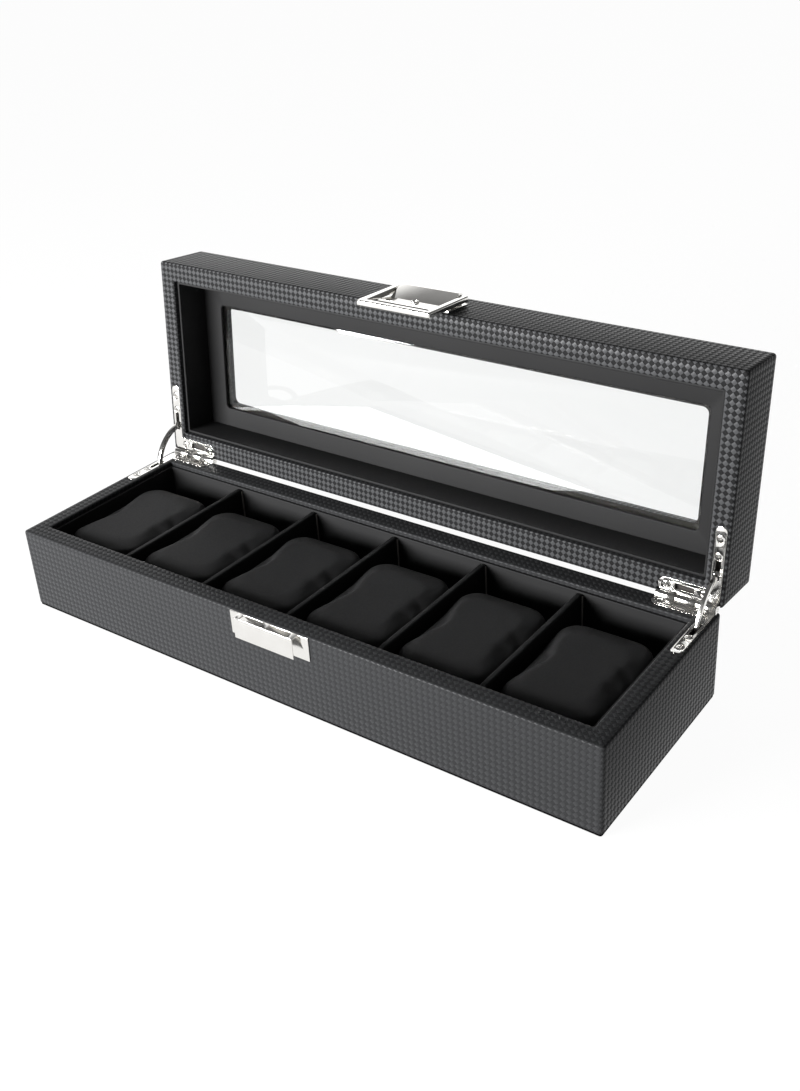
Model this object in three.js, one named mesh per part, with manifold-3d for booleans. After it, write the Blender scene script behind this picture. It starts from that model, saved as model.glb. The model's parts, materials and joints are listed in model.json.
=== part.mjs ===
// A six-slot watch box with a glass-topped lid, shown open at its stop.
// Units are millimetres. X runs along the box, the front faces -Y and Z is up.
// The origin is the centre of the underside.
// The lid is built closed, about the hinge axis, and then turned open.
import * as THREE from 'three';
import { mergeVertices } from 'three/addons/utils/BufferGeometryUtils.js';
import Module from 'manifold-3d';

const wasm = await Module();
wasm.setup();

// ---- Driving dimensions ----
const LENGTH = 320;
const DEPTH = 104;
const BASE_HEIGHT = 42.6;
const LID_HEIGHT = 30.4;
const PARTING_GAP = 0.5; // between the closed rims
const OPEN_ANGLE = 95.2; // where the stays stop the lid

const CORNER = 1.5; // radius of the box's upright corners
const RIM = { side: 9, front: 9.6, back: 10.8 }; // width of the rim on each wall
const SKIN = 0.9; // leatherette cover
const FIT = 0.3; // gap between neighbouring pieces
const FELT = 1.2; // sheet under the base
const FELT_INSET = 0.4; // from the outside faces
const BOARD = 3; // base panel
const LINER = 1.3; // padded card lining
const LINER_DROP = 2; // lining's edge below the rim

const SLOT_PITCH = 50;
const SLOTS = 6;
const DIVIDER = { thick: 3, drop: 2.6 };
const FLOOR = 2; // lining on the base panel
const PILLOW = { width: 46.4, length: 65, height: 32, edge: 7, round: 9 };

const WINDOW = { x: 136.5, yFront: 26, yBack: 80, radius: 3.5 }; // in the lid's top, from the front face
const WINDOW_LINER = 1.5; // how much wider the inner panel's opening is
const GLASS = { thick: 2.4, lap: 6 };
const LID_DEPTH = 20; // hollow inside the lid, below its inner panel

// Quadrant hinges: an L-shaped leaf at each back corner of both rims, and a curved stay
const AXIS_BACK = 0.8; // hinge axis behind the back face
const LEAF = 1.2;
const SIDE_LEG = { x: 156, width: 5, end: -35.3 }; // y from the hinge axis
const BACK_LEG = { inner: 133.7, outer: 158.5, front: -8.3, back: -1.5 };
const KNUCKLE = { radius: 2, inner: 130, outer: 158 };
const HINGE_PIN = 0.65;
const SCREWS = [[156, -32.3], [156, -24.3], [133.9, -4.9], [151.3, -4.9]]; // x, and y from the hinge axis
const SCREW = { head: 1.75, shank: 0.85, sink: 0.9, set: 0.1, length: 7.5, recess: 0.6 };
const STAY_PIVOT = { y: -15.5, z: 1.2 }; // on the lid, from the hinge axis
const STAY = { bow: 4.2, width: 2.4, thick: 1.6, eye: 2, pin: 0.8, tail: 2.6 };
const STAY_SLOT = { back: -12.9, front: -22.3, width: 2.3 };
const STAY_POCKET = { back: -11, front: -23, width: 4, bottom: 13.5 };

// Catch: a springy keeper on the base, and a loop that swings on the lid
const KEEPER = {
  plate: 22, flap: 16.5, top: 42.3, bottom: 32, plateBottom: 30.5, stand: 4.6, sheet: 0.6, tab: 3,
};
const LOOP = { outer: 20, inner: 16.9, bar: 3.3, thick: 3, wire: 1.1, tilt: 2.2, end: 28.4 };
const HASP = {
  half: 19.5, roll: 16.3, bottom: 44, fold: 49.5, pivotZ: 58.5, pivotY: -3.6, rollRadius: 2.4, sheet: 0.9,
};
const HASP_RIVET = { z: 46, head: 1.6, shank: 0.8, hollow: 0.75 };

// ---- Derived places ----
const HALF = LENGTH / 2;
const FRONT = -DEPTH / 2;
const BACK = DEPTH / 2;
const AXIS_Y = BACK + AXIS_BACK;
const AXIS_Z = BASE_HEIGHT + PARTING_GAP / 2;
const HALF_GAP = PARTING_GAP / 2;
const LID_TOP = HALF_GAP + LID_HEIGHT; // above the hinge axis
const WALL = SKIN + FIT; // from a cover's face to the board inside it
const lidY = (fromFront) => FRONT + fromFront - AXIS_Y; // depth from the front face, seen from the hinge axis
const lidZ = (height) => height - AXIS_Z;

// ---- Materials ----
const finish = (color, roughness, metalness = 0, extra = {}) =>
  new THREE.MeshStandardMaterial({ color, roughness, metalness, ...extra });
const leatherette = () => finish(0x3a3b3e, 0.5);
const lining = () => finish(0x0d0d0e, 0.75);
const fibreboard = () => finish(0x1d1a18, 0.85);
const felt = () => finish(0x0a0a0a, 0.95);
const nickel = () => finish(0xd8d6d0, 0.15, 1);
const glass = () => finish(0xdfe8e6, 0.03, 0, { transparent: true, opacity: 0.25 });

// ---- Solids ----
function solid(geometry) {
  geometry.deleteAttribute('normal');
  geometry.deleteAttribute('uv');
  const welded = mergeVertices(geometry, 1e-4);
  return new wasm.Manifold(new wasm.Mesh({
    numProp: 3,
    vertProperties: new Float32Array(welded.attributes.position.array),
    triVerts: new Uint32Array(welded.index.array),
  }));
}

// A box between two values on each axis, given in either order
function block(x, y, z) {
  const geometry = new THREE.BoxGeometry(Math.abs(x[1] - x[0]), Math.abs(y[1] - y[0]), Math.abs(z[1] - z[0]));
  geometry.translate((x[0] + x[1]) / 2, (y[0] + y[1]) / 2, (z[0] + z[1]) / 2);
  return solid(geometry);
}

// A rod along X, and a post along Z
function rod(radius, x, y, z, sides = 14) {
  const geometry = new THREE.CylinderGeometry(radius, radius, Math.abs(x[1] - x[0]), sides);
  geometry.rotateZ(Math.PI / 2);
  geometry.translate((x[0] + x[1]) / 2, y, z);
  return solid(geometry);
}

function post(radius, x, y, z, sides = 12) {
  const geometry = new THREE.CylinderGeometry(radius, radius, Math.abs(z[1] - z[0]), sides);
  geometry.rotateX(Math.PI / 2);
  geometry.translate(x, y, (z[0] + z[1]) / 2);
  return solid(geometry);
}

// An upright prism with rounded corners
function prism(x, y, z, radius) {
  const [left, right] = [x[0] + radius, x[1] - radius];
  const [front, back] = [y[0] + radius, y[1] - radius];
  const shape = new THREE.Shape();
  shape.absarc(right, back, radius, 0, Math.PI / 2);
  shape.absarc(left, back, radius, Math.PI / 2, Math.PI);
  shape.absarc(left, front, radius, Math.PI, Math.PI * 1.5);
  shape.absarc(right, front, radius, Math.PI * 1.5, Math.PI * 2);
  const options = { depth: z[1] - z[0], bevelEnabled: false, curveSegments: 4 };
  return solid(new THREE.ExtrudeGeometry(shape, options).translate(0, 0, z[0]));
}

// An outline in Y and Z, extruded along X
function profile(points, x) {
  const shape = new THREE.Shape(points.map(([y, z]) => new THREE.Vector2(y, z)));
  const geometry = new THREE.ExtrudeGeometry(shape, { depth: x[1] - x[0], bevelEnabled: false });
  const upright = new THREE.Matrix4().makeBasis(
    new THREE.Vector3(0, 1, 0), new THREE.Vector3(0, 0, 1), new THREE.Vector3(1, 0, 0));
  return solid(geometry.applyMatrix4(upright).translate(x[0], 0, 0));
}

const cut = (body, ...tools) => tools.reduce((left, tool) => left.subtract(tool), body);
const join = (body, ...others) => others.reduce((whole, other) => whole.add(other), body);
const both = (make) => [-1, 1].map(make);

// ---- Scene graph ----
const box = new THREE.Group();
const lid = new THREE.Group();
lid.position.set(0, AXIS_Y, AXIS_Z);
lid.rotation.x = THREE.MathUtils.degToRad(-OPEN_ANGLE);
box.add(lid);

function add(parent, name, body, material) {
  const { vertProperties, triVerts } = body.getMesh();
  const geometry = new THREE.BufferGeometry();
  geometry.setAttribute('position', new THREE.BufferAttribute(vertProperties, 3));
  geometry.setIndex(new THREE.BufferAttribute(triVerts, 1));
  geometry.computeVertexNormals();
  const mesh = new THREE.Mesh(geometry, material);
  mesh.name = name;
  parent.add(mesh);
  return mesh;
}

const sideName = (side) => (side > 0 ? 'right' : 'left');

// ---- Hinge leaves. Level is +1 on the lid and -1 on the base; both are given from the hinge axis ----
const leafZ = (level) => [level * HALF_GAP, level * (HALF_GAP + LEAF)];
const knuckles = (level) => {
  const third = (KNUCKLE.outer - KNUCKLE.inner) / 3;
  const middle = [KNUCKLE.inner + third + FIT / 2, KNUCKLE.outer - third - FIT / 2];
  return level > 0 ? [middle] : [[KNUCKLE.inner, middle[0] - FIT], [middle[1] + FIT, KNUCKLE.outer]];
};

function leafPlate(side, z, grow) {
  const { x, width, end } = SIDE_LEG;
  const half = width / 2 + grow;
  const { inner, outer, front, back } = BACK_LEG;
  const middle = (front + back) / 2;
  return join(
    block([side * (x - half), side * (x + half)], [end, back + grow], z),
    post(half, side * x, end, z),
    block([side * inner, side * (outer + grow)], [front - grow, back + grow], z),
    post((back - front) / 2 + grow, side * inner, middle, z));
}

function leaf(side, level) {
  const z = leafZ(level);
  const bore = [side * (KNUCKLE.inner - 1), side * (KNUCKLE.outer + 1)];
  const upwards = z.toSorted((a, b) => a - b);
  const corner = prism([-BACK_LEG.outer, BACK_LEG.outer], [-DEPTH, BACK_LEG.back], upwards, 3);
  const slot = block(
    [side * (SIDE_LEG.x - STAY_SLOT.width / 2), side * (SIDE_LEG.x + STAY_SLOT.width / 2)],
    [STAY_SLOT.front, STAY_SLOT.back], z);
  let body = cut(leafPlate(side, z, 0).intersect(corner), slot);
  for (const x of knuckles(-level)) {
    body = cut(body, rod(KNUCKLE.radius + FIT, [side * (x[0] - FIT), side * (x[1] + FIT)], 0, 0));
  }
  for (const x of knuckles(level)) {
    const web = block([side * x[0], side * x[1]], [BACK_LEG.back - 1, 0], z);
    body = join(body, rod(KNUCKLE.radius, [side * x[0], side * x[1]], 0, 0), web);
  }
  body = cut(body, rod(HINGE_PIN + 0.1, bore, 0, 0, 10));
  for (const [x, y] of SCREWS) {
    body = cut(body, screwBody(side, level, x, y, FIT / 2));
  }
  if (level > 0) {
    const stamped = block([side * 138, side * 147], [-6.6, -4], z);
    const seat = rod(STAY.pin + FIT, stayPinReach(side, FIT), STAY_PIVOT.y, STAY_PIVOT.z);
    body = cut(body, stamped, seat);
  }
  return body;
}

function stayPinReach(side, grow) {
  const half = STAY_SLOT.width / 2 + 0.6 + grow;
  return [side * SIDE_LEG.x - half, side * SIDE_LEG.x + half];
}

// What a leaf takes out of the boards and covers around it
function leafRecess(side, level) {
  const deep = [level * (HALF_GAP - 1), level * (HALF_GAP + LEAF + FIT)];
  const pocketZ = level > 0
    ? [0, STAY_PIVOT.z + STAY.eye + FIT]
    : [lidZ(STAY_POCKET.bottom), 0];
  return join(
    leafPlate(side, deep, FIT),
    block(
      [side * (KNUCKLE.inner - FIT), side * (BACK_LEG.outer + FIT)], [BACK_LEG.back - 1 - FIT, AXIS_BACK], deep),
    rod(KNUCKLE.radius + FIT, [side * (KNUCKLE.inner - FIT), side * (BACK_LEG.outer + FIT)], 0, 0),
    block(
      [side * (SIDE_LEG.x - STAY_POCKET.width / 2), side * (SIDE_LEG.x + STAY_POCKET.width / 2)],
      [STAY_POCKET.front, STAY_POCKET.back], pocketZ),
    ...SCREWS.map(([x, y]) => post(SCREW.shank + FIT, side * x, y, [0, level * (SCREW.length + 2)], 8)));
}

// ---- Screws: countersunk just below the leaf's face, with a cross recess ----
function screwBody(side, level, x, y, grow) {
  const { head, shank, sink, set, length } = SCREW;
  const top = grow > 0 ? grow : -set; // a grown screw cuts its own seat, so it breaks the leaf's face
  const outline = [[0, -length - grow], [shank + grow, 1 - length], [shank + grow, -set - sink - grow],
    [head + grow, -set - 0.2 - grow], [head + grow, top], [0, top]];
  const geometry = new THREE.LatheGeometry(outline.map(([r, z]) => new THREE.Vector2(r, z)), 10);
  geometry.rotateX(level > 0 ? -Math.PI / 2 : Math.PI / 2);
  return solid(geometry.translate(side * x, y, level * HALF_GAP));
}

function screw(side, level, x, y) {
  const top = level * (HALF_GAP + SCREW.set);
  const arm = SCREW.head * 0.62;
  const half = 0.22;
  const z = [top - level, top + level * SCREW.recess];
  return cut(
    screwBody(side, level, x, y, 0),
    block([side * x - arm, side * x + arm], [y - half, y + half], z),
    block([side * x - half, side * x + half], [y - arm, y + arm], z));
}

// ---- Stay: a curved flat arm, drawn hanging straight down from its pivot, bowed towards the front ----
const pivotRadius = Math.hypot(STAY_PIVOT.y, STAY_PIVOT.z);
const pivotAngle = Math.atan2(STAY_PIVOT.z, -STAY_PIVOT.y);
const stayChord = 2 * pivotRadius * Math.sin(THREE.MathUtils.degToRad(OPEN_ANGLE) / 2 + pivotAngle);
const stayRadius = (stayChord ** 2 / 4 + STAY.bow ** 2) / (2 * STAY.bow);
const stayReach = Math.asin(stayChord / 2 / stayRadius);

function stayPoint(angle, offset) {
  const r = stayRadius + offset;
  return [stayRadius - STAY.bow - r * Math.cos(angle), -stayChord / 2 - r * Math.sin(angle)];
}

function stay(side) {
  const steps = 10;
  const end = stayReach + STAY.tail / stayRadius;
  const angles = Array.from({ length: steps + 1 }, (_, i) => -stayReach + (end + stayReach) * i / steps);
  const outline = [
    ...angles.map((a) => stayPoint(a, STAY.width / 2)),
    ...angles.toReversed().map((a) => stayPoint(a, -STAY.width / 2))];
  const thick = [side * SIDE_LEG.x - STAY.thick / 2, side * SIDE_LEG.x + STAY.thick / 2];
  const [headY, headZ] = stayPoint(end, 0);
  const head = rod(STAY.width / 2, [side * SIDE_LEG.x - 1.7, side * SIDE_LEG.x + 1.7], headY, headZ, 12);
  return cut(
    join(profile(outline, thick), rod(STAY.eye, thick, 0, 0), head),
    rod(STAY.pin + FIT, [side * 150, side * 162], 0, 0));
}

// ---- Base ----
const rimX = HALF - RIM.side;
const rimY = [FRONT + RIM.front, BACK - RIM.back];
const toBase = (body) => body.translate([0, AXIS_Y, AXIS_Z]);
const baseRecesses = () => both((side) => toBase(leafRecess(side, -1)));
const lidRecesses = () => both((side) => leafRecess(side, 1));

// The four wall boards of one half of the box; y runs from its front face to its back face
function wallBoards(parent, prefix, y, z, recesses) {
  const x = HALF - WALL;
  const [front, back] = [y[0] + WALL, y[1] - WALL];
  const frontInner = y[0] + RIM.front - WALL;
  const backInner = y[1] - RIM.back + WALL;
  const sideInner = rimX + WALL;
  const envelope = prism([-x, x], [front, back], z, CORNER - SKIN);
  const pieces = {
    front_board: block([-x, x], [front, frontInner], z),
    back_board: block([-x, x], [backInner, back], z),
    left_board: block([-x, -sideInner], [frontInner + FIT, backInner - FIT], z),
    right_board: block([sideInner, x], [frontInner + FIT, backInner - FIT], z),
  };
  for (const [name, body] of Object.entries(pieces)) {
    add(parent, `${prefix}_${name}`, cut(body.intersect(envelope), ...recesses), fibreboard());
  }
}

function buildBase() {
  const wrapZ = [FELT, BASE_HEIGHT];
  const boardTop = BASE_HEIGHT - WALL;
  const x = HALF - FELT_INSET;
  add(box, 'base_felt',
    prism([-x, x], [FRONT + FELT_INSET, BACK - FELT_INSET], [0, FELT], CORNER - FELT_INSET), felt());

  const channel = cut(
    prism([SKIN - HALF, HALF - SKIN], [FRONT + SKIN, BACK - SKIN], [0, BASE_HEIGHT - SKIN], CORNER - SKIN),
    block([-rimX - SKIN, rimX + SKIN], [rimY[0] - SKIN, rimY[1] + SKIN], [-1, BASE_HEIGHT]));
  const wrap = cut(
    prism([-HALF, HALF], [FRONT, BACK], wrapZ, CORNER),
    block([-rimX, rimX], rimY, [0, BASE_HEIGHT + 1]),
    channel,
    ...baseRecesses());
  add(box, 'base_cover', wrap, leatherette());

  const panelZ = [FELT + FIT, FELT + FIT + BOARD];
  wallBoards(box, 'base', [FRONT, BACK], [panelZ[0], boardTop], baseRecesses());
  add(box, 'base_bottom_board',
    block([FIT - rimX, rimX - FIT], [rimY[0] + FIT, rimY[1] - FIT], panelZ), fibreboard());

  const linerTop = BASE_HEIGHT - LINER_DROP;
  const linerBottom = panelZ[1] + FIT;
  const insideX = rimX - FIT - LINER;
  const insideY = [rimY[0] + FIT + LINER, rimY[1] - FIT - LINER];
  const walls = cut(
    block([FIT - rimX, rimX - FIT], [rimY[0] + FIT, rimY[1] - FIT], [linerBottom, linerTop]),
    block([-insideX, insideX], insideY, [0, BASE_HEIGHT]));
  add(box, 'base_liner_walls', walls, lining());
  const floorZ = [linerBottom, linerBottom + FLOOR];
  add(box, 'base_liner_floor',
    block([FIT - insideX, insideX - FIT], [insideY[0] + FIT, insideY[1] - FIT], floorZ), lining());

  const dividerZ = [floorZ[1] + FIT, BASE_HEIGHT - DIVIDER.drop];
  for (let i = 1; i < SLOTS; i += 1) {
    const middle = (i - SLOTS / 2) * SLOT_PITCH;
    add(box, `divider_${i}`, block(
      [middle - DIVIDER.thick / 2, middle + DIVIDER.thick / 2],
      [insideY[0] + FIT, insideY[1] - FIT], dividerZ), lining());
  }

  for (let i = 1; i <= SLOTS; i += 1) {
    const pillow = add(box, `pillow_${i}`, pillowSolid(), lining());
    const middle = (i - (SLOTS + 1) / 2) * SLOT_PITCH;
    // an end slot reaches from a divider to the side lining, so its middle sits a little outwards
    const atEnd = i === 1 || i === SLOTS;
    const spare = (insideX + DIVIDER.thick / 2 - SLOTS / 2 * SLOT_PITCH) / 2;
    const outwards = atEnd ? Math.sign(middle) * spare : 0;
    pillow.position.set(middle + outwards, insideY[0] + FIT, floorZ[1] + FIT);
  }
}

// A plain cushion block with round edges, standing on its origin with its front at y = 0
function pillowSolid() {
  const { width, length, height, edge, round } = PILLOW;
  const [y, z] = [[edge, length - edge], [edge, height - edge]];
  const inner = round - edge;
  const shape = new THREE.Shape();
  shape.absarc(y[1] - inner, z[1] - inner, inner, 0, Math.PI / 2);
  shape.absarc(y[0] + inner, z[1] - inner, inner, Math.PI / 2, Math.PI);
  shape.absarc(y[0] + inner, z[0] + inner, inner, Math.PI, Math.PI * 1.5);
  shape.absarc(y[1] - inner, z[0] + inner, inner, Math.PI * 1.5, Math.PI * 2);
  const geometry = new THREE.ExtrudeGeometry(shape, {
    depth: width - 2 * edge, curveSegments: 3, bevelThickness: edge, bevelSize: edge, bevelSegments: 2,
  });
  const upright = new THREE.Matrix4().makeBasis(
    new THREE.Vector3(0, 1, 0), new THREE.Vector3(0, 0, 1), new THREE.Vector3(1, 0, 0));
  return solid(geometry.applyMatrix4(upright).translate(edge - width / 2, 0, 0));
}

// ---- Lid ----
function buildLid() {
  const y = [lidY(0), lidY(DEPTH)];
  const z = [HALF_GAP, LID_TOP];
  const innerY = [y[0] + RIM.front, y[1] - RIM.back];
  const panelZ = HALF_GAP + LID_DEPTH;
  const windowAt = (grow, from, to) => prism(
    [-WINDOW.x - grow, WINDOW.x + grow],
    [lidY(WINDOW.yFront) - grow, lidY(WINDOW.yBack) + grow], [from, to], WINDOW.radius + grow / 2);
  const rivetHole = (radius) => {
    const hole = post(radius, 0, 0, [-12, 12], 8);
    return hole.rotate([90, 0, 0]).translate([0, y[0], lidZ(HASP_RIVET.z)]);
  };

  // the cover turns in over the rim and ends a third of the way up inside
  const turnIn = 10;
  const wrap = cut(
    prism([-HALF, HALF], y, z, CORNER),
    block([-rimX, rimX], innerY, [0, LID_TOP - SKIN]),
    cut(
      prism(
        [SKIN - HALF, HALF - SKIN], [y[0] + SKIN, y[1] - SKIN], [z[0] + SKIN, LID_TOP - SKIN], CORNER - SKIN),
      block([-rimX - SKIN, rimX + SKIN], [innerY[0] - SKIN, innerY[1] + SKIN], [0, turnIn])),
    windowAt(0, panelZ, LID_TOP + 1),
    rivetHole(HASP_RIVET.shank + FIT),
    ...lidRecesses());
  add(lid, 'lid_cover', wrap, leatherette());

  const recesses = [rivetHole(HASP_RIVET.shank + FIT), ...lidRecesses()];
  wallBoards(lid, 'lid', y, [z[0] + WALL, LID_TOP - WALL], recesses);

  const linerZ = [HALF_GAP + LINER_DROP, panelZ - FIT];
  const insideX = rimX - FIT - LINER;
  const walls = cut(
    block([FIT - rimX, rimX - FIT], [innerY[0] + FIT, innerY[1] - FIT], linerZ),
    block([-insideX, insideX], [innerY[0] + FIT + LINER, innerY[1] - FIT - LINER], [0, LID_TOP]));
  add(lid, 'lid_liner_walls', walls, lining());

  const panelTop = panelZ + LINER;
  const panel = cut(
    block([FIT - rimX, rimX - FIT], [innerY[0] + FIT, innerY[1] - FIT], [panelZ, panelTop]),
    windowAt(WINDOW_LINER, 0, LID_TOP));
  add(lid, 'window_liner_panel', panel, lining());

  const glassZ = [panelTop + FIT, panelTop + FIT + GLASS.thick];
  add(lid, 'window_glass', windowAt(GLASS.lap, ...glassZ), glass());

  const boardGap = FIT - SKIN; // the top board reaches the wall boards, past the turned-in cover
  const topBoard = cut(
    block([boardGap - rimX, rimX - boardGap], [innerY[0] + boardGap, innerY[1] - boardGap],
      [panelTop + FIT, LID_TOP - WALL]),
    windowAt(0, 0, LID_TOP),
    windowAt(GLASS.lap + FIT, 0, glassZ[1] + FIT));
  add(lid, 'lid_top_board', topBoard, fibreboard());
}

// ---- Hinges ----
function buildHinges() {
  const names = ['side_front', 'side_back', 'inner', 'corner'];
  const base = new THREE.Group();
  base.position.set(0, AXIS_Y, AXIS_Z);
  box.add(base);
  for (const side of [-1, 1]) {
    const at = sideName(side);
    for (const [parent, half, level] of [[base, 'base', -1], [lid, 'lid', 1]]) {
      add(parent, `${half}_hinge_leaf_${at}`, leaf(side, level), nickel());
      SCREWS.forEach(([x, y], i) => {
        add(parent, `${half}_screw_${names[i]}_${at}`, screw(side, level, x, y), nickel());
      });
    }
    add(base, `hinge_pin_${at}`,
      rod(HINGE_PIN, [side * KNUCKLE.inner, side * KNUCKLE.outer], 0, 0, 10), nickel());
    add(lid, `stay_pin_${at}`,
      rod(STAY.pin, stayPinReach(side, 0), STAY_PIVOT.y, STAY_PIVOT.z, 12), nickel());

    // a stay swings half as far as the lid, so it always leads down through the slot in the base leaf
    const arm = add(lid, `stay_arm_${at}`, stay(side), nickel());
    arm.position.set(0, STAY_PIVOT.y, STAY_PIVOT.z);
    arm.rotation.x = THREE.MathUtils.degToRad(OPEN_ANGLE / 2);
  }
}

// ---- Catch ----
function buildCatch() {
  const { plate, flap, top, bottom, plateBottom, stand, sheet, tab } = KEEPER;
  const tabs = [[-flap, tab - flap], [-tab / 2, tab / 2], [flap - tab, flap]];
  const keeper = join(
    block([-plate, plate], [FRONT - sheet, FRONT], [plateBottom, top]),
    block([-flap, flap], [FRONT - stand, FRONT - stand + sheet], [bottom, top]),
    ...tabs.map((x) => block(x, [FRONT - stand, FRONT], [top - sheet, top])));
  add(box, 'catch_keeper', keeper, nickel());

  const face = lidY(0);
  const pivot = { y: face + HASP.pivotY, z: lidZ(HASP.pivotZ) };
  const plateFront = face - FIT - HASP.sheet;
  const foldZ = lidZ(HASP.fold);
  const rollFront = pivot.y - HASP.rollRadius;
  const fold = profile(
    [[face - FIT, foldZ], [face - FIT, pivot.z + 1.6], [pivot.y, pivot.z + HASP.rollRadius - 0.1],
      [rollFront + 0.1, pivot.z], [rollFront + 0.3, pivot.z - 1.5], [plateFront - 0.7, foldZ]].toReversed(),
    [-HASP.roll, HASP.roll]);
  const hole = post(HASP_RIVET.shank + FIT, 0, 0, [-4, 4], 12)
    .rotate([90, 0, 0]).translate([0, face, lidZ(HASP_RIVET.z)]);
  const haspPlate = cut(
    join(
      block([-HASP.half, HASP.half], [plateFront, face - FIT], [lidZ(HASP.bottom), pivot.z + 1.6]),
      fold,
      rod(HASP.rollRadius, [-HASP.roll, HASP.roll], pivot.y, pivot.z)),
    rod(LOOP.wire + FIT, [-HASP.half, HASP.half], pivot.y, pivot.z, 16),
    hole);
  add(lid, 'hasp_plate', haspPlate, nickel());

  const { head, shank, hollow } = HASP_RIVET;
  const outline = [[0, -6], [shank, -6], [shank, FIT], [head, FIT], [head, FIT + 0.7], [head - 0.3, FIT + 1],
    [hollow, FIT + 1], [hollow, FIT + 0.2], [0, FIT + 0.2]];
  const rivet = new THREE.LatheGeometry(outline.map(([r, h]) => new THREE.Vector2(r, h)), 16);
  rivet.rotateX(Math.PI); // the lathe's axis is Y: turn its head to the front
  rivet.translate(0, plateFront, lidZ(HASP_RIVET.z));
  add(lid, 'hasp_rivet', solid(rivet), nickel());

  // the loop is drawn about its own pivot and leans a little towards the lid
  const reach = HASP.pivotZ - LOOP.end;
  const half = LOOP.thick / 2;
  const frame = cut(
    prism([-LOOP.outer, LOOP.outer], [-reach, half], [-half, half], 1.2),
    block([-LOOP.inner, LOOP.inner], [LOOP.bar - reach, half + 1], [-half - 1, half + 1]));
  const ring = join(frame.rotate([90, 0, 0]), rod(LOOP.wire, [-LOOP.inner - 1, LOOP.inner + 1], 0, 0, 16));
  const loop = add(lid, 'catch_loop', ring, nickel());
  loop.position.set(0, pivot.y, pivot.z);
  loop.rotation.x = THREE.MathUtils.degToRad(LOOP.tilt);
}

buildBase();
buildLid();
buildHinges();
buildCatch();

export default box;
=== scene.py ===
"""A six-slot watch box with a glass-topped lid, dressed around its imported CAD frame.

Sizes are millimetres until a mesh is made. The lid's pieces are drawn closed, about the hinge axis,
and then turned to where the CAD lid rests.
"""
import json
import math

import bmesh
import bpy
from mathutils import Matrix, Vector


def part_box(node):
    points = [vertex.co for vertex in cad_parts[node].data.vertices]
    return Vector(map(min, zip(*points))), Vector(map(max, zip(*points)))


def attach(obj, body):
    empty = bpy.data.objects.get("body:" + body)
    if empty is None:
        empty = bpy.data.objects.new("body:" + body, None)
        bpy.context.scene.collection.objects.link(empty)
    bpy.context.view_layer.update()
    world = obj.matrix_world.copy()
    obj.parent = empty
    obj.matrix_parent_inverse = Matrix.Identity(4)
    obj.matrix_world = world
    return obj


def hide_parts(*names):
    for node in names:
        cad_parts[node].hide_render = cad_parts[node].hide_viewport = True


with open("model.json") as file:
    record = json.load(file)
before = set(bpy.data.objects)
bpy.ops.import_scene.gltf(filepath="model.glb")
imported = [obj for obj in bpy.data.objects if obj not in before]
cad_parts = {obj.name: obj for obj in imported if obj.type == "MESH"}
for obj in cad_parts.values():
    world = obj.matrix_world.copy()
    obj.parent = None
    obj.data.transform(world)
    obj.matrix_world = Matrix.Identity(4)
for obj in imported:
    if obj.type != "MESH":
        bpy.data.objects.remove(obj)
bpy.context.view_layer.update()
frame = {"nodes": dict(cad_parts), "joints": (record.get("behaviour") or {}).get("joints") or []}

MM = 0.001
FIT = 0.3  # gap between neighbouring CAD pieces
SKIN = 0.9  # leatherette
WEAVE = 2.82  # from one diamond of the embossed weave to the next, along an edge
DIVIDERS = 5

# ---- Places, from the frame ----
HINGE_JOINT = next(j for j in frame["joints"] if j["name"] == "lid_hinge")
AXIS = Vector(HINGE_JOINT["pos_m"])
OPEN_ANGLE = math.radians(HINGE_JOINT["range_deg"][1])
BASE = Matrix.Identity(4)
HINGE = Matrix.Translation(AXIS)
LID = HINGE @ Matrix.Rotation(-OPEN_ANGLE, 4, "X")


class Span:
    """Lowest and highest corner of a CAD node, in millimetres, seen from the frame called place."""

    def __init__(self, node, place):
        back = place.inverted()
        points = [back @ v.co / MM for v in frame["nodes"][node].data.vertices]
        self.x, self.y, self.z = ((min(p[i] for p in points), max(p[i] for p in points)) for i in range(3))

    def plan(self, grow=0.0):
        return (self.x[0] - grow, self.x[1] + grow), (self.y[0] - grow, self.y[1] + grow)


def grown(plan, by):
    (x0, x1), (y0, y1) = plan
    return (x0 - by, x1 + by), (y0 - by, y1 + by)


# ---- Meshes ----
CORNER = 1.5  # the box's upright corners
CORNER_STEPS = 6
INNER_CORNER = 0.7  # the rims' inner corners
WINDOW_EDGE_CORNER = 3.5  # the window's corners, where the lid's cover turns in
LENGTH, DEPTH = (side[1] - side[0] for side in Span("base_cover", BASE).plan())


def ring(plan, radius, z, steps=CORNER_STEPS):
    """A level rounded rectangle as (x, y, z, u), round from the front-left corner.
    u is the way along the box's outside as if its corners were sharp."""
    (x0, x1), (y0, y1) = plan
    radius = max(radius, 0.05)
    corners = [(x0 + radius, y0 + radius, 180, 0),
               (x1 - radius, y0 + radius, 270, LENGTH),
               (x1 - radius, y1 - radius, 0, LENGTH + DEPTH),
               (x0 + radius, y1 - radius, 90, 2 * LENGTH + DEPTH)]
    points = []
    for x, y, start, along in corners:
        for k in range(steps + 1):
            angle = math.radians(start + 90 * k / steps)
            u = along + CORNER * (2 * k / steps - 1)
            points.append((x + radius * math.cos(angle), y + radius * math.sin(angle), z, u))
    return points


def quarter(radius, steps=4):
    """(inset, drop) from the wall to the top of a rounded edge."""
    for k in range(steps + 1):
        angle = math.pi / 2 * k / steps
        yield radius * (1 - math.cos(angle)), radius * (1 - math.sin(angle))


def new_object(name, data):
    thing = bpy.data.objects.new(name, data)
    bpy.context.scene.collection.objects.link(thing)
    return thing


def mesh_piece(name, vertices, faces):
    mesh = bpy.data.meshes.new(name)
    mesh.from_pydata(vertices, [], faces)
    mesh.update()
    return new_object(name, mesh)


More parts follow.
